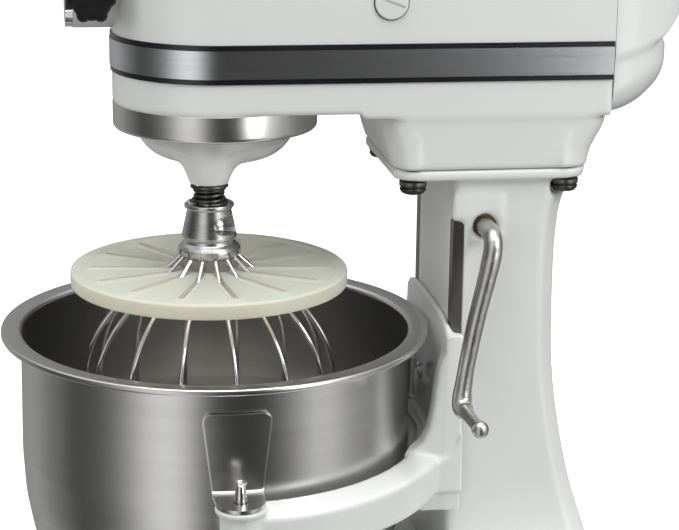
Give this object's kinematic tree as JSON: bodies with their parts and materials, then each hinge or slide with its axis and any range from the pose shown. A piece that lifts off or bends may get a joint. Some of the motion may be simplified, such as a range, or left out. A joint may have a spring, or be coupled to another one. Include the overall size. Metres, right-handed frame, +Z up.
{
  "type": "commercial stand mixer",
  "caption": "White bowl-lift stand mixer with a steel bowl on a lift yoke, a wire whisk on a planetary drive, a trim band and a front attachment hub.",
  "frame": {"origin": "on the table, under the centre of the mixer's box", "axes": "+Z up, front with the attachment hub towards -Y, lift lever on the mixer's own left side, +X"},
  "size_m": [0.268, 0.3641, 0.415],
  "materials": {
    "enamel": "smooth gloss enamel",
    "stainless": "satin, brushed around",
    "trim_aluminium": "satin, brushed along",
    "black_line": "gloss",
    "dark_steel": "dark oiled steel",
    "lever_steel": "bare satin steel",
    "bright_steel": "polished",
    "whisk_hub_steel": "turned",
    "gear_steel": "machined, greased",
    "bronze": "machined",
    "rubber": "matt",
    "clear_plastic": "translucent moulded",
    "laminated_iron": "stacked sheets",
    "copper": "varnished wire",
    "carbon": "matt",
    "brass_holder": "satin",
    "cap_plastic": "moulded",
    "black_plastic": "moulded",
    "plate_aluminium": "satin",
    "chrome": "polished"
  },
  "bodies": {
    "stand": {"base": "enamel", "column": "enamel", "gear_case": "enamel", "motor_housing": "enamel", "end_cover": "enamel", "drip_ring": "stainless", "trim_band": "trim_aluminium", "band_lines": "black_line", "slide_rails": "dark_steel", "head_screws": "dark_steel", "column_bolts": "dark_steel", "cover_hinge_pin": "bright_steel", "motor_screws": "bright_steel", "motor_bearings": "bright_steel", "ring_gear": "gear_steel", "lever_bush": "bronze", "gearbox_bushes": "bronze", "rubber_feet": "rubber", "field_core": "laminated_iron", "field_coils": "copper", "brushes": "carbon", "brush_holders": "brass_holder", "brush_caps": "cap_plastic", "cord_gland": "black_plastic", "control_plate": "plate_aluminium", "bearing_plates": "plate_aluminium"},
    "planetary": {"planetary_housing": "enamel", "beater_bush": "bronze", "planetary_pin": "bright_steel", "vertical_shaft": "bright_steel", "centre_gear": "gear_steel"},
    "beater": {"beater_shaft": "bright_steel", "beater_pinion": "gear_steel", "cross_pin": "bright_steel", "beater_spring": "dark_steel"},
    "whisk": {"whisk_hub": "whisk_hub_steel", "whisk_wires": "bright_steel", "whisk_disc": "clear_plastic"},
    "counter_shaft": {"counter_shaft": "gear_steel", "worm_wheel": "bronze"},
    "armature": {"armature_shaft": "bright_steel", "armature_core": "laminated_iron", "armature_windings": "copper", "commutator": "copper", "fan": "black_plastic"},
    "attachment_drive": {"attachment_shaft": "bright_steel"},
    "hub_cover": {"hub_cover": "chrome"},
    "attachment_knob": {"attachment_knob": "black_plastic"},
    "speed_lever": {"speed_lever": "black_plastic"},
    "power_toggle": {"power_toggle": "bright_steel"},
    "bowl_support": {"bowl_support": "enamel", "locating_pins": "bright_steel", "set_screws": "dark_steel", "lifter_plate": "lever_steel", "latch_spring": "bright_steel"},
    "bowl": {"bowl": "stainless", "bowl_ears": "stainless", "rear_bracket": "stainless"},
    "lift_lever": {"lift_lever": "lever_steel", "lift_crank": "lever_steel"}
  },
  "joints": [
    {"name": "planetary_spin", "type": "hinge", "parent": "stand", "child": "planetary", "pos_m": [0, -0.066, 0.28], "axis": [0, 0, 1], "continuous": true},
    {"name": "beater_spin", "type": "hinge", "parent": "planetary", "child": "beater", "pos_m": [0.02784, -0.07212, 0.28], "axis": [0, 0, 1], "continuous": true},
    {"name": "whisk_press", "type": "slide", "parent": "beater", "child": "whisk", "axis": [0, 0, 1], "range_m": [0, 0.004], "stiffness_N_per_m": 1500, "springref_m": -0.01, "deforming": ["beater_spring"]},
    {"name": "counter_spin", "type": "hinge", "parent": "stand", "child": "counter_shaft", "pos_m": [0.0256, -0.02718, 0.34], "axis": [0, 0, 1], "continuous": true},
    {"name": "armature_spin", "type": "hinge", "parent": "stand", "child": "armature", "pos_m": [0, 0.05, 0.351], "axis": [0, 1, 0], "continuous": true},
    {"name": "attachment_spin", "type": "hinge", "parent": "stand", "child": "attachment_drive", "pos_m": [0, -0.11, 0.3545], "axis": [0, 1, 0], "continuous": true},
    {"name": "hub_cover_hinge", "type": "hinge", "parent": "stand", "child": "hub_cover", "pos_m": [0, -0.1412, 0.3805], "axis": [-1, 0, 0], "range_deg": [0, 105]},
    {"name": "knob_turn", "type": "hinge", "parent": "stand", "child": "attachment_knob", "pos_m": [0.03, -0.1305, 0.351], "axis": [1, 0, 0], "range_deg": [0, 720]},
    {"name": "speed_lever_turn", "type": "hinge", "parent": "stand", "child": "speed_lever", "pos_m": [-0.054, 0.106, 0.352], "axis": [1, 0, 0], "range_deg": [-20, 20]},
    {"name": "power_toggle_turn", "type": "hinge", "parent": "stand", "child": "power_toggle", "pos_m": [-0.0536, 0.074, 0.352], "axis": [0, 0, 1], "range_deg": [0, 32]},
    {"name": "bowl_lift", "type": "slide", "parent": "stand", "child": "bowl_support", "axis": [0, 0, 1], "range_m": [0, 0.04]},
    {"name": "bowl_lift_off", "type": "slide", "parent": "bowl_support", "child": "bowl", "axis": [0, 0, -1], "range_m": [-0.03, 0]},
    {"name": "lever_turn", "type": "hinge", "parent": "stand", "child": "lift_lever", "pos_m": [0.04, 0.0697, 0.2335], "axis": [1, 0, 0], "range_deg": [0, 180.5]}
  ],
  "couplings": [
    {"joint": "beater_spin", "follows": "planetary_spin", "ratio": -3.375},
    {"joint": "counter_spin", "follows": "planetary_spin", "ratio": -3.4286},
    {"joint": "armature_spin", "follows": "planetary_spin", "ratio": 54.857},
    {"joint": "attachment_spin", "follows": "planetary_spin", "ratio": -2.5},
    {"joint": "lever_turn", "follows": "bowl_lift", "rad_per_m": 78.54}
  ]
}
